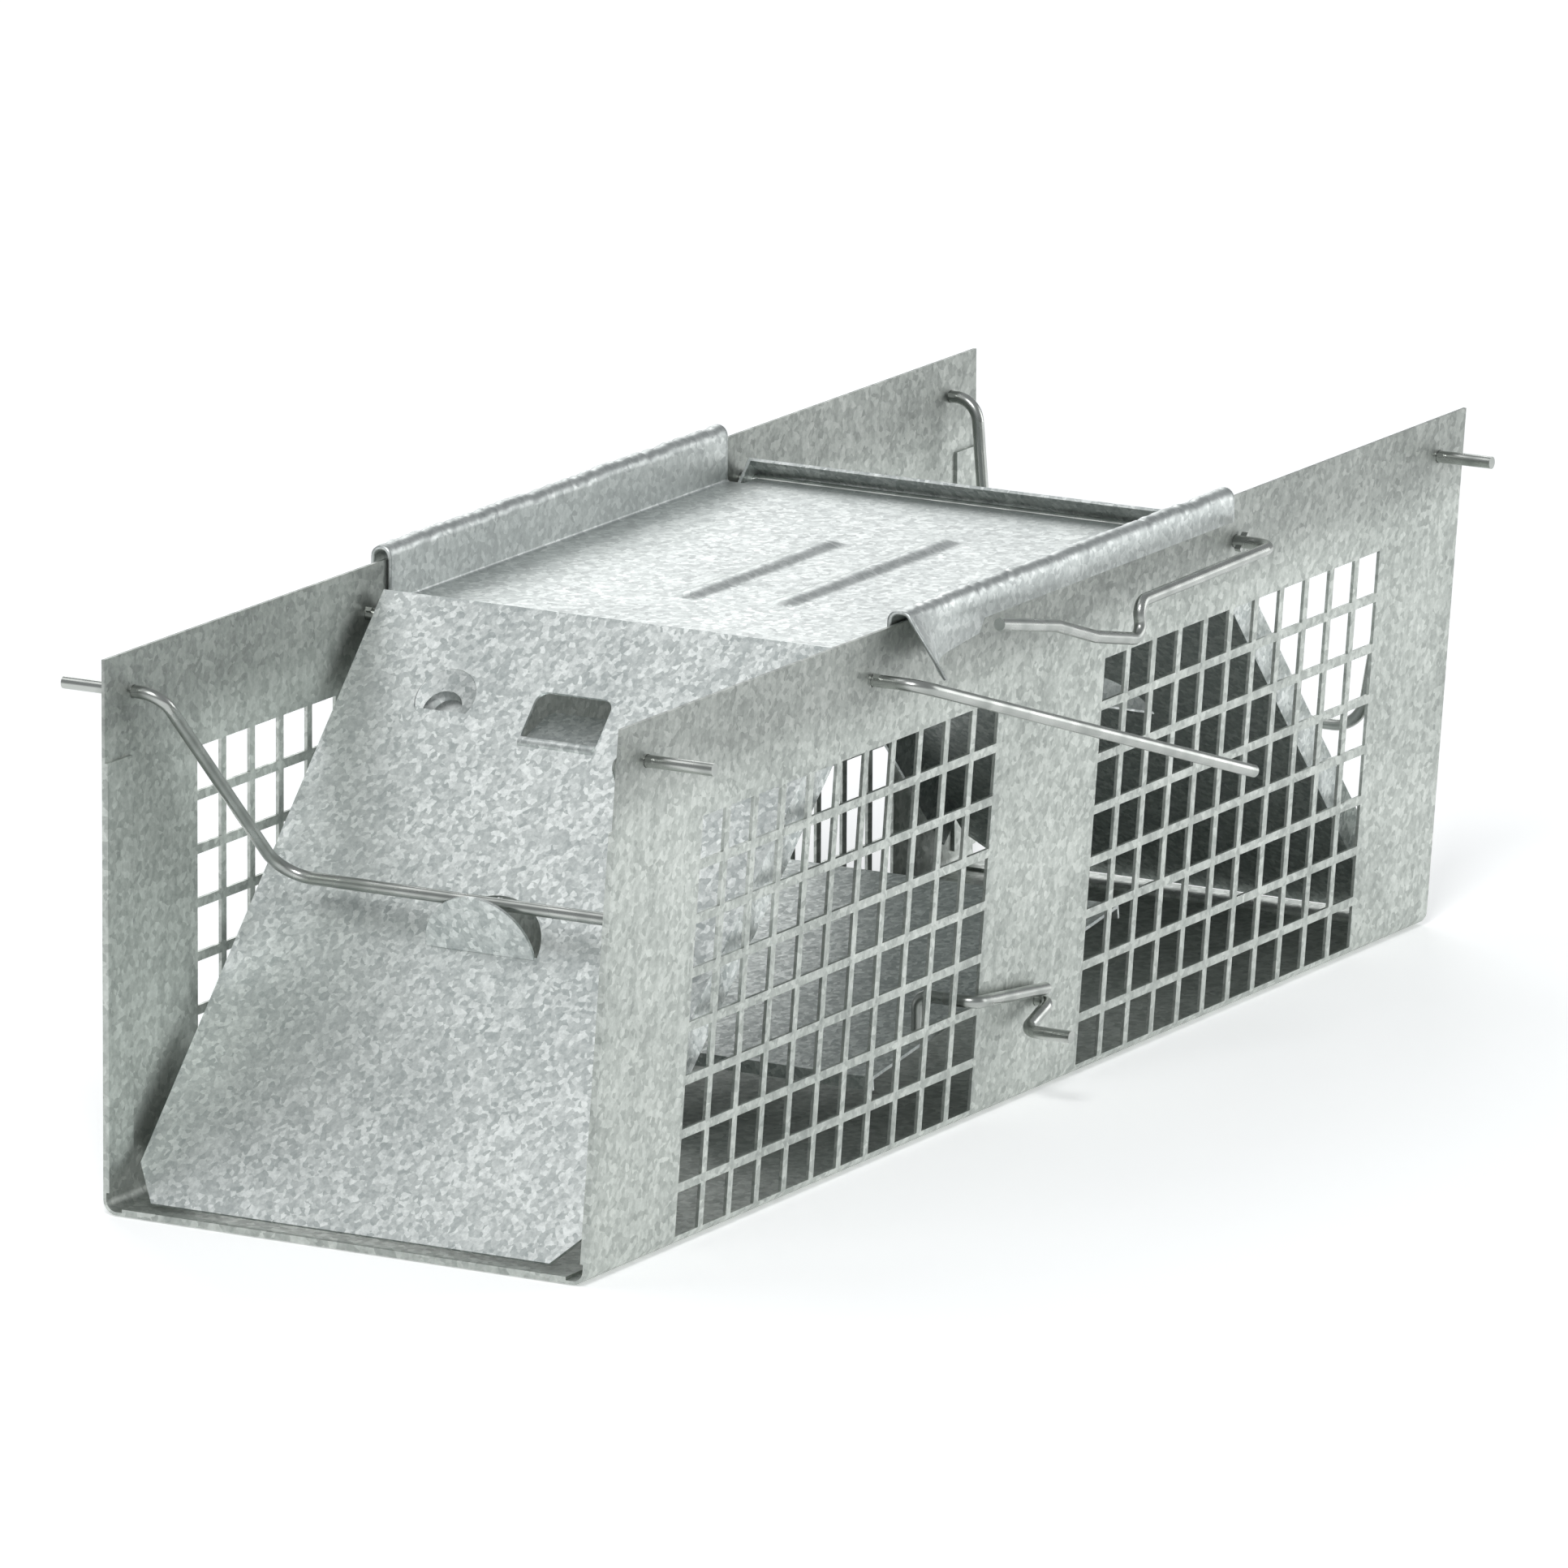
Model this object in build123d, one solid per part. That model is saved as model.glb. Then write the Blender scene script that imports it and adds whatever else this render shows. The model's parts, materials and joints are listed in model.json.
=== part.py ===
"""Two-door live catch trap of galvanised sheet and zinc-plated wire.

X runs along the tunnel, Y across it and Z up. The origin is on the underside of
the floor, below the middle of the cage. Door A closes the -X end and door B the
+X end. The left wall is on +Y and the right wall, which leans outward, is on -Y.
All sizes are in millimetres.
"""
import os
from math import asin, cos, hypot, radians, sin, tan

from build123d import *

# Stock
SHEET = 0.8
WIRE_RADIUS = 1.5
HOLE_RADIUS = WIRE_RADIUS + 0.1

# Housing
LENGTH = 406.4
HEIGHT = 130.2
HALF_WIDTH = 64.0
WALL_LEAN = tan(radians(4.04))
FLOOR_HALF_WIDTH = 60.0
WALL_BEND = 3.0
MESH_PITCH = 12.7
MESH_BAR = 2.2
MESH_COLUMNS = 11
MESH_ROWS = 8
MESH_FOOT = 2.6
MIDDLE_PANEL = 51.0
HEM_WIDTH = 10.7
HEM_FOOT = 5.0
HEM_TOP = 106.0
HEM_THICKNESS = 1.5 * SHEET
FLOOR_HEM_INSET = 1.0

# Top plate
PLATE_HALF_LENGTH = 79.0
PLATE_HEIGHT = 119.5
ROLL_HEIGHT = 133.6
SKIRT_FOOT = 125.5
ROLL_RADIUS = 2.2
PLATE_BEND = 1.2
LEFT_ROLL = (67.0, 62.5)  # outer and inner face, as the middle of the sheet
RIGHT_ROLL_IN = -71.0
RIGHT_ROLL_TAPER = 0.6
RIGHT_ROLL_OVERHANG = 3.4
EAR_LENGTH = 34.0
EAR_FOOT = (-87.5, 118.5)
EAR_CUT = 1.6  # below the top of the roll
TONGUE_REACH = 85.0
TONGUE_SIDES = (-64.0, 58.0)
BEAD_HEIGHT = 1.0
BEADS = [(-4.0, 6.0, 74.0), (6.0, -17.0, 84.0)]  # x, y and length of each bead
BEAD_WIDTH = 9.0

# Doors, as the middle of the sheet at its top and bottom edges
DOOR_TOP_X, DOOR_TOP_Z = 85.0, 124.4
DOOR_FOOT_X, DOOR_FOOT_Z = 200.0, 3.0
DOOR_HALF_WIDTH = 60.0
DOOR_TOP_RIGHT = 68.0
DOOR_LENGTH = hypot(DOOR_FOOT_X - DOOR_TOP_X, DOOR_TOP_Z - DOOR_FOOT_Z)
DOOR_SLOPE = asin((DOOR_TOP_Z - DOOR_FOOT_Z) / DOOR_LENGTH)
DOOR_CHAMFER = (7.0, 10.0)
FLANGE_DEPTH = 9.0
FLANGE_LENGTH = 150.0
HINGE_X, HINGE_Z = 87.1, 118.8

# Pressed features of a door: place across the door, and down from its top edge
DIMPLE_AT = (-32.5, 30.3)
DIMPLE_RADIUS = 8.6
DIMPLE_FLOOR_RADIUS = 5.0
DIMPLE_RISE = 3.6
DIMPLE_DEPTH = 4.0
WINDOW_AT = (0.9, 28.5)
WINDOW_SIZE = (20.4, 14.4)
WINDOW_CORNER = 3.0
FLAP_ANGLE = 28.0
FLAP_MARGIN = 0.5
FLAP_ROLL_RADIUS = 1.5
FLAP_ROLL_PROUD = 0.8
TAB_AT = (3.6, 90.5)
TAB_RADIUS = 14.3
TAB_ANGLE = 60.0
TAB_STEP = 0.3
TAB_GAP = 0.5

# Lock bails
BAIL_X, BAIL_Z = 190.5, 120.4
BAIL_A_LEG = 66.0
BAIL_B_LEG = 70.0
BAIL_LOCKED_ANGLE = 49.3  # below the horizontal
BAIL_HALF_SPAN = 50.0

# Treadle
TREADLE_X, TREADLE_Z = 3.5, 23.5
TREADLE_TILT = 8.1
PAN_LENGTH, PAN_WIDTH = 120.0, 114.0
PAN_LIP = 3.0
PAN_RISE = 2.0
STRAP_WIDTH = 10.0
STRAP_Y = 34.0

# Short bent end of a rod outside the left wall
HOOK_Y = 67.6
HOOK_KICK = 3.0
HOOK_DROP = 8.0

# Staked ears, the flattened fins that keep a wire from sliding
EAR_SIZE = (5.2, 1.6, 1.0)
LEFT_EAR_Y = 61.9
RIGHT_EAR_Y = -74.1


def across(x):
    """The plane across the tunnel at x, with its own X along +Y and its own Y up."""
    return Plane(origin=(x, 0, 0), x_dir=(0, 1, 0), z_dir=(1, 0, 0))


def right_wall_y(z):
    """The middle of the leaning right wall's sheet at height z."""
    return -(HALF_WIDTH - SHEET / 2) - WALL_LEAN * z


def bent_sheet(points, radii, x_start, x_end):
    """Sheet bent along a line across the tunnel and run from x_start to x_end."""
    profile = trace(FilletPolyline(*points, radius=radii), line_width=SHEET)
    return extrude(across(x_start) * profile, amount=x_end - x_start)


def wire(points, radii):
    """Round wire bent through points, with one bend radius for each corner."""
    path = FilletPolyline(*points, radius=radii)
    start = Plane(origin=path @ 0, z_dir=path % 0)
    return sweep(start * Circle(WIRE_RADIUS), path=path)


def cross_hole(x, z):
    """A cutter along Y for a wire that passes through a wall or flange."""
    return Pos(x, 0, z) * Rot(90, 0, 0) * Cylinder(HOLE_RADIUS, 4 * HALF_WIDTH)


def staked_ear(x, y, z, turn):
    """Flattened fin on a wire that runs along Y."""
    return Pos(x, y, z) * Rot(0, turn, 0) * Box(*EAR_SIZE)


def window_cutter(side):
    """All mesh holes of one wall; side is +1 for the left wall and -1 for the right."""
    hole = MESH_PITCH - MESH_BAR
    reach, lean_allowance = 20.0, 3.0
    cells = []
    for end in (-1, 1):
        for column in range(MESH_COLUMNS):
            x = end * (MIDDLE_PANEL / 2 + hole / 2 + column * MESH_PITCH)
            for row in range(MESH_ROWS):
                z = MESH_FOOT + hole / 2 + row * MESH_PITCH
                cells.append(Pos(x, side * (HALF_WIDTH + lean_allowance), z) * Box(hole, reach, hole))
    return cells


def wire_holes():
    """Cutters for the two hinge rods, the two bails and the treadle rod."""
    places = [(TREADLE_X, TREADLE_Z)]
    for end in (-1, 1):
        places.append((end * HINGE_X, HINGE_Z))
        places.append((end * BAIL_X, BAIL_Z))
    return [cross_hole(x, z) for x, z in places]


def wall(side):
    """One side wall with its bend, mesh windows, end hems and wire holes."""
    def middle(z):
        return HALF_WIDTH - SHEET / 2 if side > 0 else right_wall_y(z)

    foot = (side * FLOOR_HALF_WIDTH, SHEET / 2)
    corner = (middle(0), SHEET / 2)
    shape = bent_sheet([foot, corner, (middle(HEIGHT), HEIGHT)], WALL_BEND, -LENGTH / 2, LENGTH / 2)
    inward = -side * HEM_THICKNESS
    hem = Polygon(
        (middle(HEM_FOOT), HEM_FOOT),
        (middle(HEM_TOP), HEM_TOP),
        (middle(HEM_TOP) + inward, HEM_TOP),
        (middle(HEM_FOOT) + inward, HEM_FOOT),
        align=None,
    )
    for x in (-LENGTH / 2, LENGTH / 2 - HEM_WIDTH):
        shape += extrude(across(x) * hem, amount=HEM_WIDTH, dir=(1, 0, 0))
    return shape - window_cutter(side) - wire_holes()


def floor_pan():
    """Flat floor with a folded hem at each end."""
    shape = Pos(0, 0, SHEET / 2) * Box(LENGTH, 2 * FLOOR_HALF_WIDTH, SHEET)
    for end in (-1, 1):
        x = end * (LENGTH / 2 - HEM_WIDTH / 2)
        shape += Pos(x, 0, SHEET) * Box(HEM_WIDTH, 2 * (FLOOR_HALF_WIDTH - FLOOR_HEM_INSET), 2 * SHEET)
    return shape


def skirt_section(x, points):
    """A thin quadrilateral of sheet across the tunnel, for the flared ear."""
    return across(x) * trace(Line(*points), line_width=SHEET)


def top_plate():
    """Sunk roof panel with rolled sides over both walls, a tongue under each door and two beads."""
    left, left_in = LEFT_ROLL
    right = right_wall_y(HEIGHT) - RIGHT_ROLL_OVERHANG
    points = [
        (left, SKIRT_FOOT), (left, ROLL_HEIGHT), (left_in, ROLL_HEIGHT), (left_in, PLATE_HEIGHT),
        (RIGHT_ROLL_IN, PLATE_HEIGHT), (RIGHT_ROLL_IN - RIGHT_ROLL_TAPER, ROLL_HEIGHT),
        (right, ROLL_HEIGHT), (right, SKIRT_FOOT),
    ]
    radii = [ROLL_RADIUS, ROLL_RADIUS, PLATE_BEND, PLATE_BEND, ROLL_RADIUS, ROLL_RADIUS]
    shape = bent_sheet(points, radii, -PLATE_HALF_LENGTH, PLATE_HALF_LENGTH)

    low_side, high_side = TONGUE_SIDES
    tongues = Box(2 * TONGUE_REACH, high_side - low_side, SHEET)
    shape += Pos(0, (low_side + high_side) / 2, PLATE_HEIGHT) * tongues

    ear_end = EAR_LENGTH - PLATE_HALF_LENGTH
    trim = Box(EAR_LENGTH, 3, 10, align=(Align.MIN, Align.CENTER, Align.MAX))
    shape -= Pos(-PLATE_HALF_LENGTH, right - RIGHT_ROLL_TAPER, ROLL_HEIGHT - EAR_CUT) * trim
    flared = skirt_section(-PLATE_HALF_LENGTH, [(right + 0.3, ROLL_HEIGHT - 0.6), EAR_FOOT])
    closed = skirt_section(ear_end, [(right, ROLL_HEIGHT - 1.5), (right - RIGHT_ROLL_TAPER, SKIRT_FOOT - 1)])
    shape += loft([flared.face(), closed.face()])

    for x, y, length in BEADS:
        outline = SlotOverall(length, BEAD_WIDTH)
        bead = extrude(Pos(x, y, PLATE_HEIGHT) * outline, amount=SHEET / 2 + BEAD_HEIGHT)
        shape += fillet(bead.edges().group_by(Axis.Z)[-1], radius=BEAD_HEIGHT * 0.8)
    return shape


def door_plane():
    """Door A's middle plane: own X toward the right wall, own Y up the slope, own Z outward."""
    outward = (-sin(DOOR_SLOPE), 0, cos(DOOR_SLOPE))
    return Plane(origin=(-DOOR_TOP_X, 0, DOOR_TOP_Z), x_dir=(0, -1, 0), z_dir=outward)


def door_edge(down):
    """Distance of the door's right edge from its middle, at a distance down from the top."""
    return DOOR_TOP_RIGHT + (DOOR_HALF_WIDTH - DOOR_TOP_RIGHT) * down / DOOR_LENGTH


def cut_disc(radius, x, y, rise=0.0):
    """Disc whose part below its flat side is cut off; its centre lies a rise above that side."""
    keep = Pos(0, 2 * radius) * Rectangle(4 * radius, 4 * radius)
    return Pos(x, y) * (Pos(0, rise) * Circle(radius) & keep)


def dimple_solid(inset, depth):
    """Tapered plug with one flat side, from the outer face down to a depth."""
    x, down = DIMPLE_AT
    flat = -down + inset / 2
    top = cut_disc(DIMPLE_RADIUS - inset, x, flat, DIMPLE_RISE)
    bottom = cut_disc(DIMPLE_FLOOR_RADIUS - inset, x, flat, DIMPLE_RISE / 3)
    return loft([(Pos(0, 0, SHEET / 2) * top).face(), (Pos(0, 0, SHEET / 2 - depth) * bottom).face()])


def door():
    """Door A with its side flanges, dimple, finger window with flap, and lock tab."""
    cut_x, cut_y = DOOR_CHAMFER
    side = DOOR_HALF_WIDTH
    outline = Polygon(
        (-side, 0), (DOOR_TOP_RIGHT, 0), (door_edge(DOOR_LENGTH - cut_y), cut_y - DOOR_LENGTH),
        (side - cut_x, -DOOR_LENGTH), (cut_x - side, -DOOR_LENGTH), (-side, cut_y - DOOR_LENGTH),
        align=None,
    )
    shape = extrude(outline, amount=SHEET / 2, both=True)
    foot = -FLANGE_LENGTH
    foot_edge = door_edge(FLANGE_LENGTH)
    left_flange = Polygon((-side, 0), (SHEET - side, 0), (SHEET - side, foot), (-side, foot), align=None)
    right_flange = Polygon(
        (DOOR_TOP_RIGHT - SHEET, 0), (DOOR_TOP_RIGHT, 0), (foot_edge, foot), (foot_edge - SHEET, foot),
        align=None,
    )
    for flange in (left_flange, right_flange):
        shape += extrude(flange, amount=FLANGE_DEPTH, dir=(0, 0, -1))

    shape -= dimple_solid(0, SHEET)
    shape += dimple_solid(0, DIMPLE_DEPTH + SHEET) - dimple_solid(SHEET, DIMPLE_DEPTH)

    x, down = WINDOW_AT
    width, height = WINDOW_SIZE
    window = Pos(x, -down) * RectangleRounded(width, height, WINDOW_CORNER)
    shape -= extrude(window, amount=SHEET, both=True)
    roll_y = -down - height / 2 + FLAP_ROLL_RADIUS / 2
    roll_z = SHEET / 2 - FLAP_ROLL_RADIUS + FLAP_ROLL_PROUD
    roll = Rot(0, 90, 0) * Cylinder(FLAP_ROLL_RADIUS, width - FLAP_MARGIN)
    shape += Pos(x, roll_y, roll_z) * roll
    flap = Pos(0, height / 2) * RectangleRounded(width - 2 * FLAP_MARGIN, height, WINDOW_CORNER)
    flap = extrude(flap, amount=SHEET / 2, both=True)
    shape += Pos(x, roll_y - FLAP_MARGIN, roll_z) * Rot(-FLAP_ANGLE, 0, 0) * flap

    x, down = TAB_AT
    slot = cut_disc(TAB_RADIUS + TAB_GAP, x, -down)
    shape -= extrude(slot, amount=SHEET, both=True)
    tab = extrude(cut_disc(TAB_RADIUS, 0, 0), amount=SHEET / 2, both=True)
    shape += Pos(x, -down - SHEET / 2, TAB_STEP) * Rot(TAB_ANGLE, 0, 0) * tab
    shape = door_plane() * shape
    return shape - cross_hole(-HINGE_X, HINGE_Z)


def hinge_rod_a():
    """Door A's hinge wire; its long outer arm runs toward the middle and down."""
    points = [
        (-HINGE_X - HOOK_KICK, HOOK_Y, HINGE_Z - HOOK_DROP), (-HINGE_X, HOOK_Y, HINGE_Z),
        (-HINGE_X, -84.5, HINGE_Z), (28.5, -109.6, 78.8),
    ]
    shape = wire(points, [2.5, 6.0])
    shape += staked_ear(-HINGE_X, LEFT_EAR_Y, HINGE_Z, 40)
    return shape + staked_ear(-HINGE_X, RIGHT_EAR_Y, HINGE_Z, 40)


def hinge_rod_b():
    """Door B's hinge wire; its cranked arm lies along the top of the right wall."""
    points = [
        (HINGE_X + HOOK_KICK, HOOK_Y, HINGE_Z - HOOK_DROP), (HINGE_X, HOOK_Y, HINGE_Z),
        (HINGE_X, -83, HINGE_Z), (19, -83, 118), (21, -84, 109), (-2, -83.5, 114), (-20, -83, 120), (-47, -83, 125.5),
    ]
    shape = wire(points, [2.5, 5.0, 3.5, 3.5, 8.0, 8.0])
    shape += staked_ear(HINGE_X, LEFT_EAR_Y, HINGE_Z, -40)
    return shape + staked_ear(HINGE_X, RIGHT_EAR_Y, HINGE_Z, -40)


def lock_bail(end, right_stub, reach_x, bar_z):
    """U-shaped wire pivoted in both walls; end is -1 for door A and +1 for door B."""
    pivot = end * BAIL_X
    bar = pivot + reach_x
    points = [
        (pivot, 82, BAIL_Z), (pivot, 56, BAIL_Z), (bar, BAIL_HALF_SPAN, bar_z),
        (bar, -BAIL_HALF_SPAN - 2, bar_z), (pivot, -64, BAIL_Z), (pivot, right_stub, BAIL_Z),
    ]
    shape = wire(points, [6.0, 9.0, 9.0, 7.0])
    shape += staked_ear(pivot, LEFT_EAR_Y, BAIL_Z, 20)
    return shape + staked_ear(pivot, RIGHT_EAR_Y, BAIL_Z, 20)


def lock_bail_a():
    """Bail leaning inward, its bar in the crook above door A's tab."""
    lean = radians(BAIL_LOCKED_ANGLE)
    return lock_bail(-1, -90, BAIL_A_LEG * cos(lean), BAIL_Z - BAIL_A_LEG * sin(lean))


def lock_bail_b():
    """Bail hanging straight down in front of door B."""
    return lock_bail(1, -87, 0, BAIL_Z - BAIL_B_LEG)


def pan_place():
    """The tilted frame of the treadle, with its origin on the rod."""
    return Pos(TREADLE_X, 0, TREADLE_Z) * Rot(0, -TREADLE_TILT, 0)


def treadle_rod():
    """Pivot wire across the cage, cranked outside the right wall into a latch pin."""
    points = [
        (TREADLE_X, HOOK_Y, TREADLE_Z - HOOK_DROP), (TREADLE_X, HOOK_Y, TREADLE_Z),
        (TREADLE_X, -69.5, TREADLE_Z), (-9, -69.5, 19), (-9, -82, 19),
    ]
    shape = wire(points, [2.5, 3.0, 3.0])
    shape += staked_ear(TREADLE_X, LEFT_EAR_Y, TREADLE_Z, 0)
    return shape + staked_ear(TREADLE_X, -63.2, TREADLE_Z, 0)


def treadle_pan():
    """Flat plate over the rod, with a lip turned down at each end."""
    shape = Pos(0, 0, PAN_RISE) * Box(PAN_LENGTH, PAN_WIDTH, SHEET)
    for end in (-1, 1):
        x = end * (PAN_LENGTH / 2 - SHEET / 2)
        shape += Pos(x, 0, PAN_RISE - PAN_LIP / 2) * Box(SHEET, PAN_WIDTH, PAN_LIP)
    centre = -TREADLE_X
    return pan_place() * Pos(centre, 0, 0) * shape


def treadle_stay():
    """Stop wire beside the pan that reaches out through a mesh hole."""
    points = [
        (3.0, -68.4, TREADLE_Z + 3.05), (-31, -68.4, 30.2), (-31, -53, 30.2), (-31, -53, 21.6),
    ]
    return wire(points, [3.0, 3.0])


def treadle_straps():
    """Two saddle straps that hold the rod under the pan."""
    seat = PAN_RISE - SHEET - 0.05
    hug = WIRE_RADIUS + SHEET / 2 + 0.1
    foot = 9.0
    line = FilletPolyline(
        (-foot, seat), (-hug, seat), (-hug, -hug), (hug, -hug), (hug, seat), (foot, seat),
        radius=[0.6, hug - 0.05, hug - 0.05, 0.6],
    )
    profile = Plane.XZ * trace(line, line_width=SHEET)
    strap = extrude(profile, amount=STRAP_WIDTH / 2, both=True)
    return pan_place() * Compound([Pos(0, y, 0) * strap for y in (-STRAP_Y, STRAP_Y)])


def main():
    """Write every node of the trap to its own STEP file."""
    door_a = door()
    nodes = {
        "floor_pan": floor_pan(),
        "left_wall": wall(1),
        "right_wall": wall(-1),
        "top_plate": top_plate(),
        "door_a": door_a,
        "door_b": mirror(door_a, about=Plane.YZ),
        "hinge_rod_a": hinge_rod_a(),
        "hinge_rod_b": hinge_rod_b(),
        "lock_bail_a": lock_bail_a(),
        "lock_bail_b": lock_bail_b(),
        "treadle_rod": treadle_rod(),
        "treadle_pan": treadle_pan(),
        "treadle_stay": treadle_stay(),
        "treadle_straps": treadle_straps(),
    }
    os.makedirs("parts", exist_ok=True)
    for name, shape in nodes.items():
        export_step(shape, f"parts/{name}.step")
        print(f"{name}: {shape.volume:.0f} mm3, {len(shape.solids())} solids")


main()
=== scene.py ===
"""Looks of a two-door live catch trap: galvanised sheet, bright roof and zinc-plated wire.

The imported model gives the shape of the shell, doors, treadle and wires. This script dresses
them in procedural finishes, builds the hand-rolled roof as a finer mesh and lights a studio.
"""

import json
import logging
import math
from dataclasses import dataclass, field
from enum import Enum

import bpy
from mathutils import Matrix, Vector, noise

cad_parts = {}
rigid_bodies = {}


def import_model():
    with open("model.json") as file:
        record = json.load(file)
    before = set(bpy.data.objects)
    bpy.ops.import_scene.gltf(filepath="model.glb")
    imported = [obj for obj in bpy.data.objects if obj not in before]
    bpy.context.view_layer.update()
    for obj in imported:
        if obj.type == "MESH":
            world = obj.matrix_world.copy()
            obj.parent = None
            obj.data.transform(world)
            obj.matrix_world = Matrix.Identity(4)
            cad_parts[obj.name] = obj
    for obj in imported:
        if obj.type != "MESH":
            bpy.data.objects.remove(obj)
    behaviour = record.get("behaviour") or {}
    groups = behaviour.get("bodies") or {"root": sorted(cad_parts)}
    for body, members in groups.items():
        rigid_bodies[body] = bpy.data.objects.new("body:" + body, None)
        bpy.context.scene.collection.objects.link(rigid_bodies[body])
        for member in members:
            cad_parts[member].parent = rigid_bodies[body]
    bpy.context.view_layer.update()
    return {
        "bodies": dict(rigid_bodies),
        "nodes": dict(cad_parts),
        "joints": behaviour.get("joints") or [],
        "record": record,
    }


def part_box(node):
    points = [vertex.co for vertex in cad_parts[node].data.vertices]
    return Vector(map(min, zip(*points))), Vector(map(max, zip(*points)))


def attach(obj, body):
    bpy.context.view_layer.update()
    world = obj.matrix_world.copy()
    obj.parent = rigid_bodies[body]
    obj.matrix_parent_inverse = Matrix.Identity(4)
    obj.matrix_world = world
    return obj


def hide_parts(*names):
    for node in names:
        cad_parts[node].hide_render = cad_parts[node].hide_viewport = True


MM = 0.001
LOG = logging.getLogger("trap")


def linear(hex_colour: str) -> tuple[float, float, float, float]:
    """Turn an sRGB hex colour to linear light.

    Args:
        hex_colour: six hex digits after a hash sign.

    Returns:
        Red, green, blue and an alpha of 1.
    """
    knee, foot_slope, offset, power = 0.04045, 12.92, 0.055, 2.4
    channels = [int(hex_colour[i:i + 2], 16) / 255 for i in (1, 3, 5)]
    red, green, blue = [
        c / foot_slope if c <= knee else ((c + offset) / (1.0 + offset)) ** power for c in channels]
    return red, green, blue, 1.0


def add_node(tree: bpy.types.NodeTree, kind: str, inputs: dict | None = None,
             **settings) -> bpy.types.Node:
    """Add one node with its settings and links.

    Args:
        tree: the node tree that gets the node.
        kind: Blender's name of the node type.
        inputs: value or output socket for each input, by name or number.
        **settings: properties of the node itself.

    Returns:
        The new node.
    """
    node = tree.nodes.new(kind)
    for name, value in settings.items():
        setattr(node, name, value)
    for key, value in (inputs or {}).items():
        if isinstance(value, bpy.types.NodeSocket):
            tree.links.new(value, node.inputs[key])
        else:
            node.inputs[key].default_value = value
    return node


def set_ramp(node: bpy.types.Node, stops: list[tuple[float, str]]) -> None:
    """Give a colour ramp its stops.

    Args:
        node: a Color Ramp node.
        stops: place from 0 to 1 and sRGB hex colour of each stop.
    """
    elements = node.color_ramp.elements
    while len(elements) < len(stops):
        elements.new(0.5)
    for element, (place, colour) in zip(elements, stops):
        element.position = place
        element.color = linear(colour)


def per_mm(size: float) -> float:
    """Texture scale, in repeats per metre, for a pattern of a size in millimetres."""
    return 1000.0 / size


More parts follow.
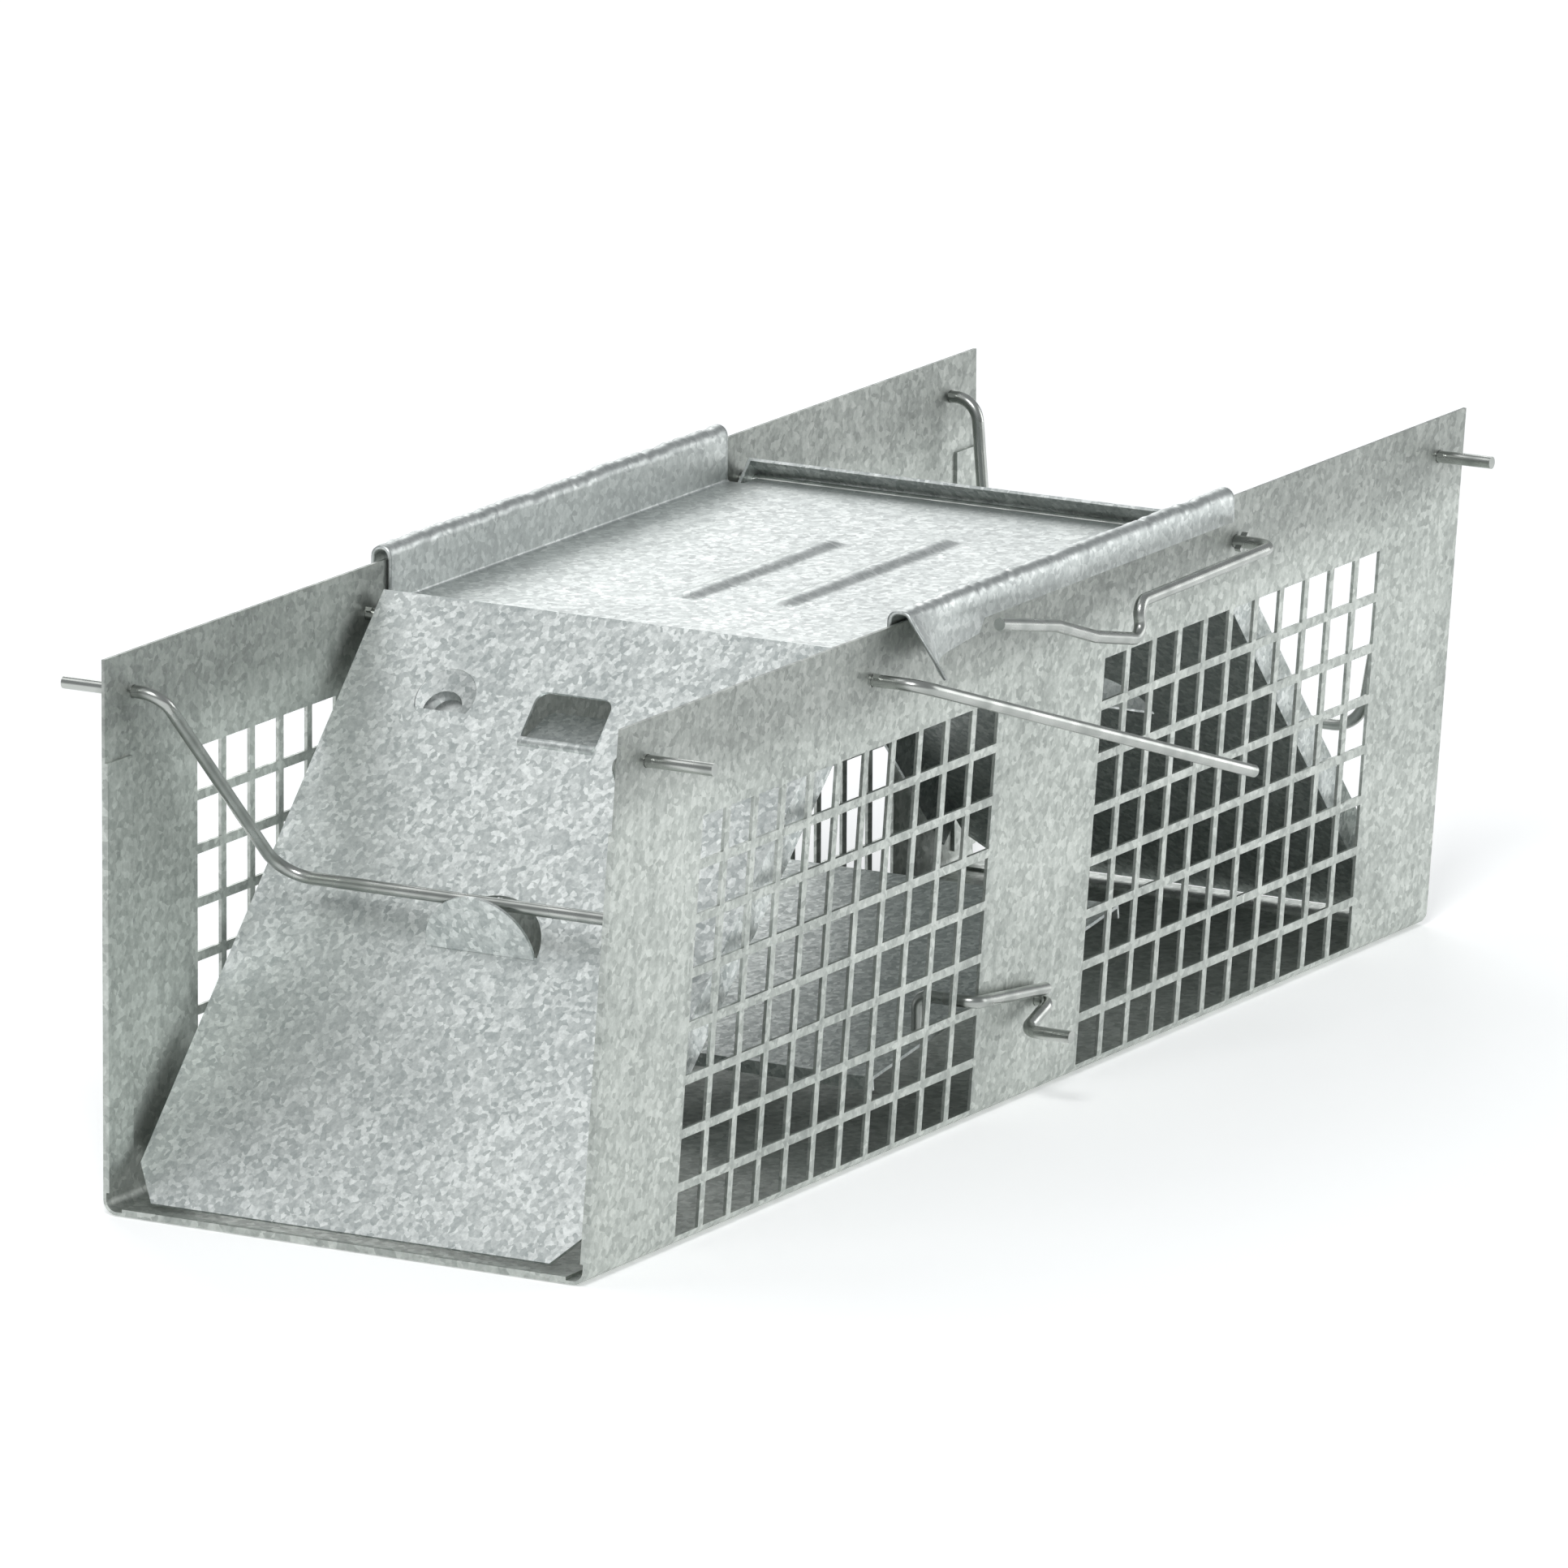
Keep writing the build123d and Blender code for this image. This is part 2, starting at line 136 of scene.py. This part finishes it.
@dataclass(frozen=True)
class GalvanisedSheet:
    """Hot-dip galvanised steel sheet.

    The zinc froze in small crystals, which gives the eye patches of slightly different grey,
    fine bright specks between them and a soft, broken shine. Along the top rim the colour is
    darkened to a darker grey by painted shade, which stands in for the shade on the walls' upper strip.
    """
    name: str
    shades: tuple[str, str, str]
    crystal_mm: float
    speck_mm: float
    streak_mm: float
    roughness: float
    roughness_spread: float
    speck_share: float
    streak_share: float = 0.2
    cloud_share: float = 0.26
    cloud_mm: float = 38.0
    grain_height_mm: float = 0.035
    dent_height_mm: float = 0.5
    dent_mm: float = 55.0
    # Painted shade on the top rim: the heights where it starts and where it is full, and how much it
    # darkens.
    rim_from_mm: float = 104.0
    rim_to_mm: float = 119.0
    rim_painted_shade: float = 0.0
    warp_share: float = 1.6
    speck_harshness: float = 0.62
    streak_squash: float = 0.16
    shade_places: tuple[float, float, float] = (0.3, 0.5, 0.68)
    rough_range: tuple[float, float] = (0.3, 0.7)

    def material(self) -> bpy.types.Material:
        """Make the material with its crystals, specks, streaks and shallow dents."""
        made = bpy.data.materials.new(self.name)
        made.use_nodes = True
        tree = made.node_tree
        shader = tree.nodes["Principled BSDF"]
        place = add_node(tree, "ShaderNodeTexCoord").outputs["Object"]
        warp = add_node(tree, "ShaderNodeTexNoise",
                        {"Vector": place, "Scale": per_mm(self.crystal_mm * 2), "Detail": 3.0})
        shift = add_node(tree, "ShaderNodeVectorMath",
                         {0: warp.outputs["Color"], 1: (0.5, 0.5, 0.5)}, operation="SUBTRACT")
        scaled = add_node(tree, "ShaderNodeVectorMath", {
            0: shift.outputs[0], "Scale": self.crystal_mm * MM * self.warp_share}, operation="SCALE")
        warped = add_node(tree, "ShaderNodeVectorMath",
                          {0: place, 1: scaled.outputs[0]}, operation="ADD").outputs[0]
        crystals = add_node(tree, "ShaderNodeTexVoronoi",
                            {"Vector": warped, "Scale": per_mm(self.crystal_mm)})
        tone = add_node(tree, "ShaderNodeSeparateColor", {"Color": crystals.outputs["Color"]})
        specks = add_node(tree, "ShaderNodeTexNoise", {
            "Vector": place, "Scale": per_mm(self.speck_mm), "Detail": 4.0,
            "Roughness": self.speck_harshness})
        stretch = add_node(tree, "ShaderNodeVectorMath",
                           {0: place, 1: (1.0, 1.0, self.streak_squash)}, operation="MULTIPLY")
        streaks = add_node(tree, "ShaderNodeTexNoise", {
            "Vector": stretch.outputs[0], "Scale": per_mm(self.streak_mm), "Detail": 3.0})
        clouds = add_node(tree, "ShaderNodeTexNoise",
                          {"Vector": place, "Scale": per_mm(self.cloud_mm), "Detail": 4.0})
        mottle = self.blend(tree, tone.outputs[0], specks.outputs["Fac"], self.speck_share)
        mottle = self.blend(tree, mottle, streaks.outputs["Fac"], self.streak_share)
        mottle = self.blend(tree, mottle, clouds.outputs["Fac"], self.cloud_share)
        ramp = add_node(tree, "ShaderNodeValToRGB", {"Fac": mottle})
        set_ramp(ramp, list(zip(self.shade_places, self.shades)))
        # Painted shade: the base colour darkens over the top rim heights, standing in for the shade on the
        # upper strip of the walls.
        height = add_node(tree, "ShaderNodeSeparateXYZ", {"Vector": place}).outputs["Z"]
        rim = add_node(tree, "ShaderNodeMapRange", {
            "Value": height, "From Min": self.rim_from_mm * MM, "From Max": self.rim_to_mm * MM,
            "To Min": 1.0, "To Max": 1.0 - self.rim_painted_shade}, interpolation_type="SMOOTHSTEP")
        rim_shaded = add_node(tree, "ShaderNodeVectorMath",
                           {0: ramp.outputs["Color"], "Scale": rim.outputs["Result"]}, operation="SCALE")
        tree.links.new(rim_shaded.outputs["Vector"], shader.inputs["Base Color"])
        rough = add_node(tree, "ShaderNodeMapRange", {
            "Value": mottle, "From Min": self.rough_range[0], "From Max": self.rough_range[1],
            "To Min": self.roughness + self.roughness_spread,
            "To Max": self.roughness - self.roughness_spread})
        tree.links.new(rough.outputs["Result"], shader.inputs["Roughness"])
        dents = add_node(tree, "ShaderNodeTexNoise",
                         {"Vector": place, "Scale": per_mm(self.dent_mm), "Detail": 1.0})
        buckle = add_node(tree, "ShaderNodeBump", {
            "Height": dents.outputs["Fac"], "Distance": self.dent_height_mm * MM, "Strength": 1.0})
        grain = add_node(tree, "ShaderNodeBump", {
            "Height": mottle, "Distance": self.grain_height_mm * MM, "Strength": 1.0,
            "Normal": buckle.outputs["Normal"]})
        tree.links.new(grain.outputs["Normal"], shader.inputs["Normal"])
        shader.inputs["Metallic"].default_value = 1.0
        return made

    @staticmethod
    def blend(tree: bpy.types.NodeTree, base: bpy.types.NodeSocket, other: bpy.types.NodeSocket,
              share: float) -> bpy.types.NodeSocket:
        """Mix two tones.

        Args:
            tree: the node tree.
            base: the tone so far.
            other: the tone to mix in.
            share: how much of the other tone there is, from 0 to 1.

        Returns:
            The mixed tone.
        """
        mix = add_node(tree, "ShaderNodeMix", {"Factor": share, 2: base, 3: other})
        return mix.outputs[0]


@dataclass(frozen=True)
class ZincWire:
    """Drawn steel wire with bright zinc plating.

    The plating is smooth with faint cloudy patches, which gives the eye a long, clean highlight.
    """
    name: str = "zinc_plated_wire"
    shades: tuple[str, str] = ("#A6AAA6", "#BEC1BD")
    shade_places: tuple[float, float] = (0.35, 0.6)
    blotch_mm: float = 7.0
    blotch_height_mm: float = 0.02
    roughness: float = 0.27
    dull_extra: float = 0.08
    bright_less: float = 0.05
    rough_range: tuple[float, float] = (0.3, 0.7)

    def material(self) -> bpy.types.Material:
        """Make the material with its plating blotches."""
        made = bpy.data.materials.new(self.name)
        made.use_nodes = True
        tree = made.node_tree
        shader = tree.nodes["Principled BSDF"]
        place = add_node(tree, "ShaderNodeTexCoord").outputs["Object"]
        blotch = add_node(tree, "ShaderNodeTexNoise",
                          {"Vector": place, "Scale": per_mm(self.blotch_mm), "Detail": 1.0})
        ramp = add_node(tree, "ShaderNodeValToRGB", {"Fac": blotch.outputs["Fac"]})
        set_ramp(ramp, list(zip(self.shade_places, self.shades)))
        tree.links.new(ramp.outputs["Color"], shader.inputs["Base Color"])
        rough = add_node(tree, "ShaderNodeMapRange", {
            "Value": blotch.outputs["Fac"], "From Min": self.rough_range[0], "From Max": self.rough_range[1],
            "To Min": self.roughness + self.dull_extra, "To Max": self.roughness - self.bright_less})
        tree.links.new(rough.outputs["Result"], shader.inputs["Roughness"])
        relief = add_node(tree, "ShaderNodeBump", {
            "Height": blotch.outputs["Fac"], "Distance": self.blotch_height_mm * MM, "Strength": 1.0})
        tree.links.new(relief.outputs["Normal"], shader.inputs["Normal"])
        shader.inputs["Metallic"].default_value = 1.0
        return made


class Finish(Enum):
    """The finishes of the trap's own metal."""
    # The wall finish darkens its top rim with painted shade.
    WALL = GalvanisedSheet(
        "galvanised_wall_sheet", ("#9FA4A0", "#BFC4BF", "#DADED9"),
        crystal_mm=1.6, speck_mm=1.4, streak_mm=3.0, roughness=0.5, roughness_spread=0.05,
        speck_share=0.62, streak_share=0.28, rim_painted_shade=0.3)
    DOOR = GalvanisedSheet(
        "galvanised_door_sheet", ("#B2B9B8", "#D0D5D3", "#F1F5F3"),
        crystal_mm=1.3, speck_mm=1.25, streak_mm=6.0, roughness=0.45, roughness_spread=0.05,
        speck_share=0.62, streak_share=0.12, cloud_share=0.2, grain_height_mm=0.03)
    ROOF = GalvanisedSheet(
        "galvanised_roof_sheet", ("#B4B9B8", "#C9CECC", "#E0E4E2"),
        crystal_mm=1.5, speck_mm=1.2, streak_mm=5.0, roughness=0.46, roughness_spread=0.06,
        speck_share=0.6, cloud_share=0.2, dent_height_mm=0.35)
    WIRE = ZincWire()


class Wardrobe:
    """Makes each finish once and puts it on pieces."""

    def __init__(self) -> None:
        """Make every finish's material."""
        self.materials = {finish: finish.value.material() for finish in Finish}

    def dress(self, piece: bpy.types.Object, finish: Finish) -> None:
        """Put one finish on every slot of a piece.

        Args:
            piece: the object to dress.
            finish: the finish that it gets.
        """
        if not piece.data.materials:
            piece.data.materials.append(None)
        for index in range(len(piece.data.materials)):
            piece.data.materials[index] = self.materials[finish]
        LOG.info("%s wears %s", piece.name, finish.name.lower())


def rounded(corners: list[tuple[float, float]], radii: list[float], steps: int) -> list[tuple[float, float]]:
    """Round the corners of an open line with arcs.

    Args:
        corners: the line's points.
        radii: one bend radius for each inner point.
        steps: segments in each arc.

    Returns:
        The points of the rounded line.
    """
    line = [corners[0]]
    for before, corner, after, radius in zip(corners, corners[1:], corners[2:], radii):
        a, b, c = Vector(before), Vector(corner), Vector(after)
        inward, outward = (a - b).normalized(), (c - b).normalized()
        half = inward.angle(outward) / 2
        centre = b + (inward + outward).normalized() * radius / math.sin(half)
        start = b + inward * radius / math.tan(half) - centre
        sweep = -start.angle_signed(b + outward * radius / math.tan(half) - centre)
        for step in range(steps + 1):
            spoke = start.copy()
            spoke.rotate(Matrix.Rotation(sweep * step / steps, 2))
            line.append(tuple(centre + spoke))
    line.append(corners[-1])
    return line


@dataclass
class Roof:
    """The sunk roof panel, whose sides were rolled over both walls by hand, with a tongue at each end.

    Heights and places across the trap are in millimetres, from the middle of the floor.
    """
    wardrobe: Wardrobe
    thickness: float = 0.8
    plate_height: float = 119.5
    roll_half_length: float = 79.0
    tongue: tuple[float, float] = (-64.0, 58.0)
    left: tuple[float, float] = (67.0, 62.5)
    right: tuple[float, float, float] = (-71.0, -71.6, -76.2)
    roll_height: float = 133.6
    skirt_foot: float = 125.5
    roll_radius: float = 2.2
    bend_radius: float = 1.2
    ear_length: float = 20.0
    ear_foot: tuple[float, float] = (-87.0, 118.9)
    flap_length: float = 34.0
    flap_rise: float = 3.4
    notch_length: float = 2.5
    beads: list[tuple[float, float, float]] = field(
        default_factory=lambda: [(-4.0, 6.0, 74.0), (6.0, -17.0, 84.0)])
    bead_width: float = 9.0
    bead_height: float = 1.2
    spacing: float = 0.9
    ripple: float = 0.9
    crimp: float = 2.3
    crimp_share: float = 0.6
    resting_drop: float = 0.6
    wave_share: float = 0.4
    left_wave: tuple[float, float] = (17.0, 1.3)
    right_wave: tuple[float, float] = (14.0, 7.9)
    crimp_seed_step: float = 3.0
    arc_steps: int = 6
    flat_tolerance: float = 0.01

    def build(self) -> bpy.types.Object:
        """Build the roof and put it in place of the plain CAD plate.

        Returns:
            The roof object.
        """
        low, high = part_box("top_plate")
        start, end = low.x / MM, high.x / MM
        stations = int((end - start) / self.spacing)
        rows = []
        for station in range(stations + 1):
            x = start + (end - start) * station / stations
            rows.append([self.point(x, y, z) for y, z in self.section(x, -self.roll_half_length)])
        mesh = bpy.data.meshes.new("rolled_roof")
        width = len(rows[0])
        faces = []
        for i in range(stations):
            for j in range(width - 1):
                if self.is_kept(rows[i][j], rows[i + 1][j + 1]):
                    first = i * width + j
                    faces.append((first, first + width, first + width + 1, first + 1))
        used = sorted({corner for face in faces for corner in face})
        place = {old: new for new, old in enumerate(used)}
        points = [p for row in rows for p in row]
        mesh.from_pydata([points[i] for i in used], [], [tuple(place[i] for i in face) for face in faces])
        mesh.shade_smooth()
        piece = bpy.data.objects.new("rolled_roof", mesh)
        bpy.context.scene.collection.objects.link(piece)
        shell = piece.modifiers.new("sheet", "SOLIDIFY")
        shell.thickness = self.thickness * MM
        shell.offset = 0.0
        self.wardrobe.dress(piece, Finish.ROOF)
        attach(piece, "housing")
        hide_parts("top_plate")
        return piece

    def is_kept(self, one: tuple[float, float, float], other: tuple[float, float, float]) -> bool:
        """Whether a patch is sheet: past the rolls, only the flat tongues under the doors are.

        Args:
            one: a corner of the patch, in metres.
            other: the opposite corner, in metres.

        Returns:
            True for a patch of the rolled part or of a tongue.
        """
        x, y, z = ((a + b) / 2 / MM for a, b in zip(one, other))
        low, high = self.tongue
        flat = abs(z - self.plate_height) < self.thickness
        return abs(x) < self.roll_half_length or (flat and low < y < high)

    def section(self, x: float, start: float) -> list[tuple[float, float]]:
        """The middle of the sheet across the trap at one station.

        Args:
            x: the station along the trap.
            start: the near end of the roof.

        Returns:
            Points across the trap, from the left skirt to the right skirt or ear.
        """
        outer, inner = self.left
        plate_edge, roll_in, roll_out = self.right
        past = max(0.0, x - start)
        flare = max(0.0, 1.0 - past / self.ear_length) ** 2
        along = min(1.0, past / self.flap_length)
        flap_foot = self.ear_foot[1] + self.flap_rise * along
        notch = min(1.0, max(0.0, (past - self.flap_length) / self.notch_length))
        foot = (roll_out + (self.ear_foot[0] - roll_out) * flare,
                flap_foot + (self.skirt_foot - flap_foot) * notch)
        sag = self.wave(x, *self.left_wave)
        dip = self.wave(x, *self.right_wave)
        corners = [
            (outer, self.skirt_foot), (outer, self.roll_height - sag), (inner, self.roll_height - sag),
            (inner, self.plate_height), (plate_edge, self.plate_height),
            (roll_in, self.roll_height - dip), (roll_out, self.roll_height - dip), foot,
        ]
        roll, bend = self.roll_radius, self.bend_radius
        line = rounded(corners, [roll, roll, bend, bend, roll, roll], self.arc_steps)
        return self.divided(line)

    def wave(self, x: float, length: float, seed: float) -> float:
        """How far a roll is beaten down at a station.

        Args:
            x: the station along the trap.
            length: the length of the long waves.
            seed: a number of the roll's own.

        Returns:
            The drop, from long hammer waves and short crimp wrinkles.
        """
        slow = noise.noise(Vector((x / length, seed, 0.0)))
        fast = noise.noise(Vector((x / self.crimp, seed + self.crimp_seed_step, 0.0)))
        return self.ripple * (self.resting_drop + self.wave_share * slow + self.crimp_share * fast)

    def divided(self, line: list[tuple[float, float]]) -> list[tuple[float, float]]:
        """Divide the flat panel between the two bends, so that the beads can rise from it."""
        widest = max(range(len(line) - 1), key=lambda i: line[i][0] - line[i + 1][0])
        (y0, z0), (y1, z1) = line[widest], line[widest + 1]
        count = int((self.left[1] - self.right[0]) / self.spacing)
        panel = [(y0 + (y1 - y0) * k / count, z0 + (z1 - z0) * k / count) for k in range(1, count)]
        return line[:widest + 1] + panel + line[widest + 1:]

    def point(self, x: float, y: float, z: float) -> tuple[float, float, float]:
        """Place a point in metres, raised where it lies on a bead."""
        lift = 0.0
        if abs(z - self.plate_height) < self.flat_tolerance:
            for bead_x, bead_y, length in self.beads:
                along = max(0.0, abs(x - bead_x) - (length - self.bead_width) / 2)
                away = math.hypot(along, y - bead_y) / (self.bead_width / 2)
                lift += self.bead_height * (0.5 + 0.5 * math.cos(math.pi * min(1.0, away)))
        return x * MM, y * MM, (z + lift) * MM


@dataclass
class Shell:
    """The floor and both side walls, bent from mesh-punched sheet."""
    wardrobe: Wardrobe
    nodes: tuple[str, ...] = ("floor_pan", "left_wall", "right_wall")

    def build(self, frame: dict) -> None:
        """Dress the shell's sheets."""
        for name in self.nodes:
            self.wardrobe.dress(frame["nodes"][name], Finish.WALL)


@dataclass
class Doors:
    """Both sloping doors with their pressed features."""
    wardrobe: Wardrobe
    nodes: tuple[str, ...] = ("door_a", "door_b")

    def build(self, frame: dict) -> None:
        """Dress the doors."""
        for name in self.nodes:
            self.wardrobe.dress(frame["nodes"][name], Finish.DOOR)


@dataclass
class WireWork:
    """Hinge rods, lock bails and the treadle's rod and stay."""
    wardrobe: Wardrobe
    nodes: tuple[str, ...] = (
        "hinge_rod_a", "hinge_rod_b", "lock_bail_a", "lock_bail_b", "treadle_rod", "treadle_stay")

    def build(self, frame: dict) -> None:
        """Dress the wires."""
        for name in self.nodes:
            self.wardrobe.dress(frame["nodes"][name], Finish.WIRE)


@dataclass
class Treadle:
    """The tilting pan and the straps that hold it to its rod."""
    wardrobe: Wardrobe
    nodes: tuple[str, ...] = ("treadle_pan", "treadle_straps")

    def build(self, frame: dict) -> None:
        """Dress the pan and straps."""
        for name in self.nodes:
            self.wardrobe.dress(frame["nodes"][name], Finish.DOOR)


@dataclass(frozen=True)
class Softbox:
    """A square soft light: where it hangs, its side in metres and its power in watts."""
    name: str
    place: tuple[float, float, float]
    side: float
    power: float

    def hang(self) -> None:
        """Hang the softbox so that it faces the trap."""
        data = bpy.data.lights.new(self.name, "AREA")
        data.size = self.side
        data.energy = self.power
        lamp = bpy.data.objects.new(self.name, data)
        lamp.location = self.place
        lamp.rotation_euler = Vector(self.place).to_track_quat("Z", "Y").to_euler()
        bpy.context.scene.collection.objects.link(lamp)


@dataclass
class Studio:
    """Pale floor, soft lights and a long-lens camera at a low three-quarter angle."""
    azimuth: float = -60.236
    elevation: float = 13.149
    roll: float = 0.299
    distance: float = 4.288434
    lens: float = 416.8
    sensor: float = 36.0
    aim: tuple[float, float, float] = (0.0, 0.0, 0.0651)
    slide: tuple[float, float] = (-0.000872, 0.003016)
    floor_size: float = 30.0
    floor_drop: float = 0.0003
    floor_colour: str = "#F4F5F5"
    floor_glow: float = 0.35
    sky_colour: str = "#F2F5F8"
    sky_strength: float = 0.40
    softboxes: tuple[Softbox, ...] = (
        Softbox("key_softbox", (-1.7, -0.7, 1.9), 0.6, 27.0),
        Softbox("fill_softbox", (1.7, -1.7, 0.6), 1.3, 11.0),
        Softbox("rim_softbox", (1.8, 1.6, 1.4), 1.6, 16.0),
        Softbox("overhead_softbox", (-0.6, 1.1, 2.2), 1.2, 5.0),
    )

    def build(self) -> None:
        """Make the floor, the sky, the lights and the camera."""
        self.camera()
        self.floor()
        self.sky()
        for softbox in self.softboxes:
            softbox.hang()

    def camera(self) -> None:
        """Place the camera by its angles and distance."""
        azimuth, elevation = math.radians(self.azimuth), math.radians(self.elevation)
        back = Vector((math.sin(azimuth) * math.cos(elevation),
                       -math.cos(azimuth) * math.cos(elevation), math.sin(elevation)))
        level = Vector((0, 0, 1)).cross(back).normalized()
        upright = back.cross(level)
        roll = math.radians(self.roll)
        right = level * math.cos(roll) + upright * math.sin(roll)
        up = upright * math.cos(roll) - level * math.sin(roll)
        data = bpy.data.cameras.new("camera")
        data.lens = self.lens
        data.sensor_width = self.sensor
        data.clip_start, data.clip_end = 0.05, 100.0
        view = bpy.data.objects.new("camera", data)
        place = Vector(self.aim) + right * self.slide[0] + up * self.slide[1] + back * self.distance
        turn = Matrix((right, up, back)).transposed().to_4x4()
        view.matrix_world = Matrix.Translation(place) @ turn
        bpy.context.scene.collection.objects.link(view)
        bpy.context.scene.camera = view

    def floor(self) -> None:
        """Lay a plain matt floor just under the trap."""
        half = self.floor_size / 2
        mesh = bpy.data.meshes.new("studio_floor")
        corners = [(-half, -half), (half, -half), (half, half), (-half, half)]
        mesh.from_pydata([(x, y, -self.floor_drop) for x, y in corners], [], [(0, 1, 2, 3)])
        piece = bpy.data.objects.new("studio_floor", mesh)
        bpy.context.scene.collection.objects.link(piece)
        matt = bpy.data.materials.new("matt_paper")
        matt.use_nodes = True
        shader = matt.node_tree.nodes["Principled BSDF"]
        shader.inputs["Base Color"].default_value = linear(self.floor_colour)
        shader.inputs["Roughness"].default_value = 0.9
        shader.inputs["Emission Color"].default_value = linear(self.floor_colour)
        shader.inputs["Emission Strength"].default_value = self.floor_glow
        mesh.materials.append(matt)

    def sky(self) -> None:
        """Surround the studio with an even soft light and show its colours unaltered."""
        world = bpy.data.worlds.new("studio_sky")
        world.use_nodes = True
        light = world.node_tree.nodes["Background"]
        light.inputs["Color"].default_value = linear(self.sky_colour)
        light.inputs["Strength"].default_value = self.sky_strength
        bpy.context.scene.world = world
        bpy.context.scene.view_settings.view_transform = "Standard"


def main() -> None:
    """Build the studio, dress every sub-assembly and build the roof."""
    logging.basicConfig(level=logging.INFO)
    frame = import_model()
    Studio().build()
    wardrobe = Wardrobe()
    for assembly in (Shell(wardrobe), Doors(wardrobe), WireWork(wardrobe), Treadle(wardrobe)):
        assembly.build(frame)
    Roof(wardrobe).build()


if __name__ == "__main__":
    main()
